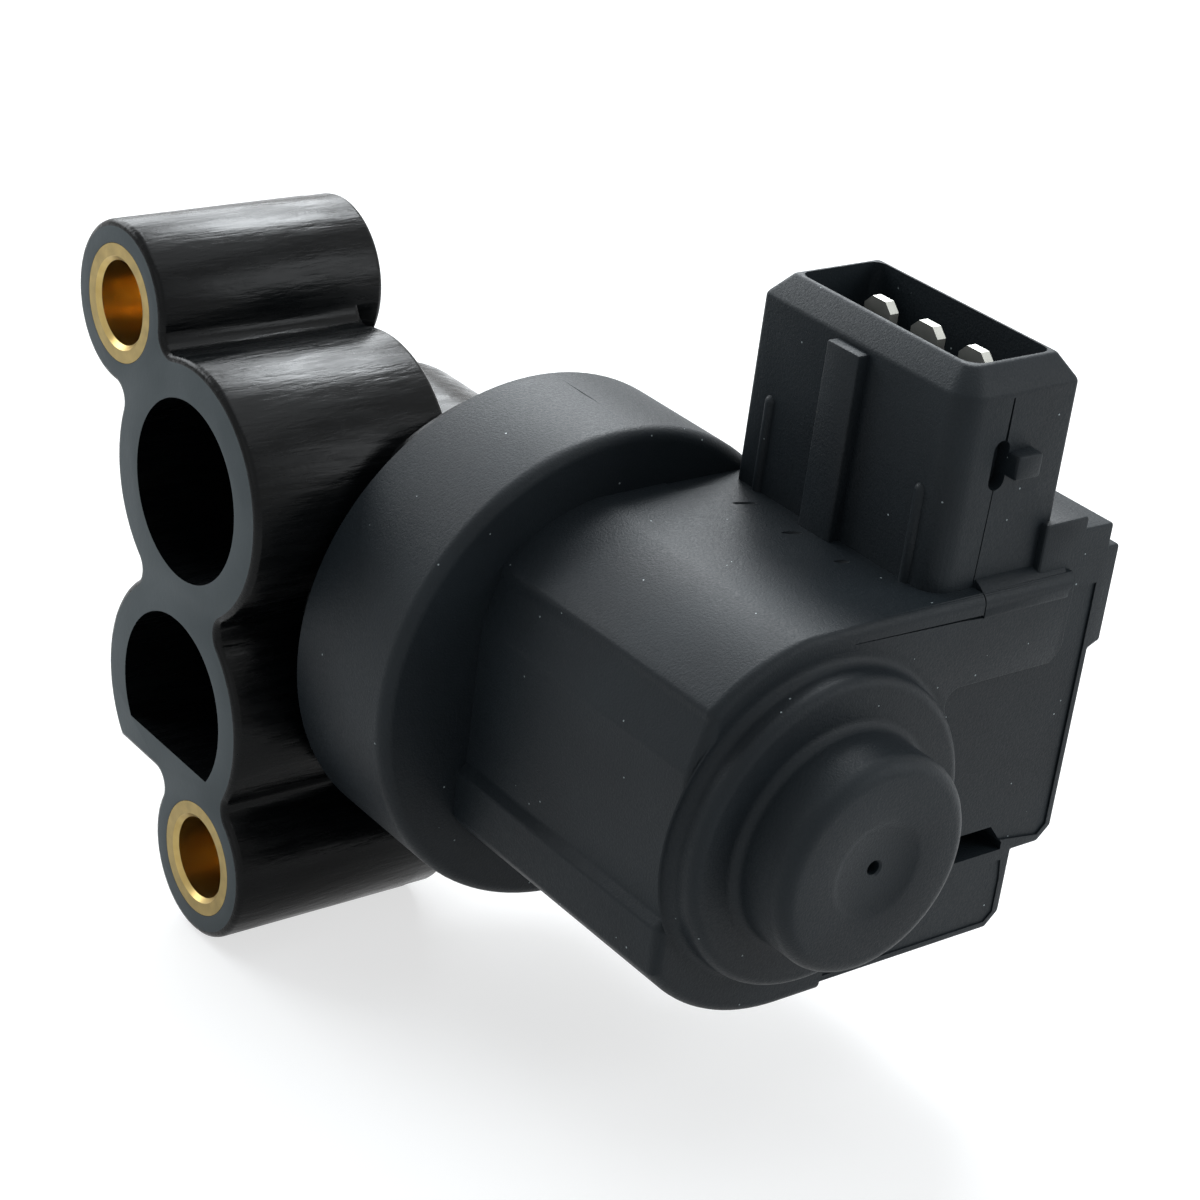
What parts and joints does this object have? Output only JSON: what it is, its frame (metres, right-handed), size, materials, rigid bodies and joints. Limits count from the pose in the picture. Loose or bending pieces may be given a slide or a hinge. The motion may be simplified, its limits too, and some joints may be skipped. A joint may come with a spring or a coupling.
{
  "type": "idle air control valve",
  "caption": "Rotary idle air valve: a bolted flange with air ports on a moulded slide chamber, a round collar, a faceted motor body with a stepped nose, and an upright plug socket with blades.",
  "frame": {"origin": "midway between the centres of the two bolt holes, on the flange's sealing face", "axes": "+X from the flange face into the part, so the flange faces -X; the motor's axis lies along Y with its nose towards -Y; +Z is the side of the upper port, and the plug socket opens to +Z"},
  "size_m": [0.051, 0.0716, 0.0576],
  "materials": {
    "housing_gloss": "glossy moulded, glass-filled",
    "motor_matt": "fine matt moulded, glass-filled",
    "bush_brass": "turned",
    "seal_rubber": "moulded",
    "ground_steel": "ground",
    "spring_steel": "blackened",
    "soft_iron": "stamped and zinc-plated",
    "former_nylon": "moulded, natural colour",
    "copper_wire": "enamelled copper wire",
    "tinned_blade": "stamped brass with a tin coat",
    "sintered_bronze": "sintered bronze",
    "ferrite": "sintered ferrite, ground",
    "slide_alloy": "die-cast"
  },
  "bodies": {
    "housing": {"valve_housing": "housing_gloss", "upper_bolt_bush": "bush_brass", "lower_bolt_bush": "bush_brass", "motor_housing": "motor_matt", "end_plate": "motor_matt", "sealing_ring": "seal_rubber", "stop_pins": "ground_steel", "flux_tube": "soft_iron", "collar_pole_plate": "soft_iron", "middle_pole_plate": "soft_iron", "nose_pole_plate": "soft_iron", "collar_coil_former": "former_nylon", "nose_coil_former": "former_nylon", "collar_winding": "copper_wire", "nose_winding": "copper_wire", "blade_collar_side": "tinned_blade", "blade_middle": "tinned_blade", "blade_nose_side": "tinned_blade", "bearing_outer_race": "ground_steel", "bearing_balls": "ground_steel", "nose_bush": "sintered_bronze", "chamber_bush": "sintered_bronze"},
    "rotor": {"shaft": "ground_steel", "bearing_inner_race": "ground_steel", "shaft_clip": "spring_steel", "rotor_hub": "former_nylon", "ring_magnet": "ferrite", "rotary_slide": "slide_alloy"}
  },
  "joints": [
    {"name": "slide_turn", "type": "hinge", "parent": "housing", "child": "rotor", "pos_m": [0.02324, 0, 0], "axis": [0, -1, 0], "range_deg": [-18, 42]}
  ]
}
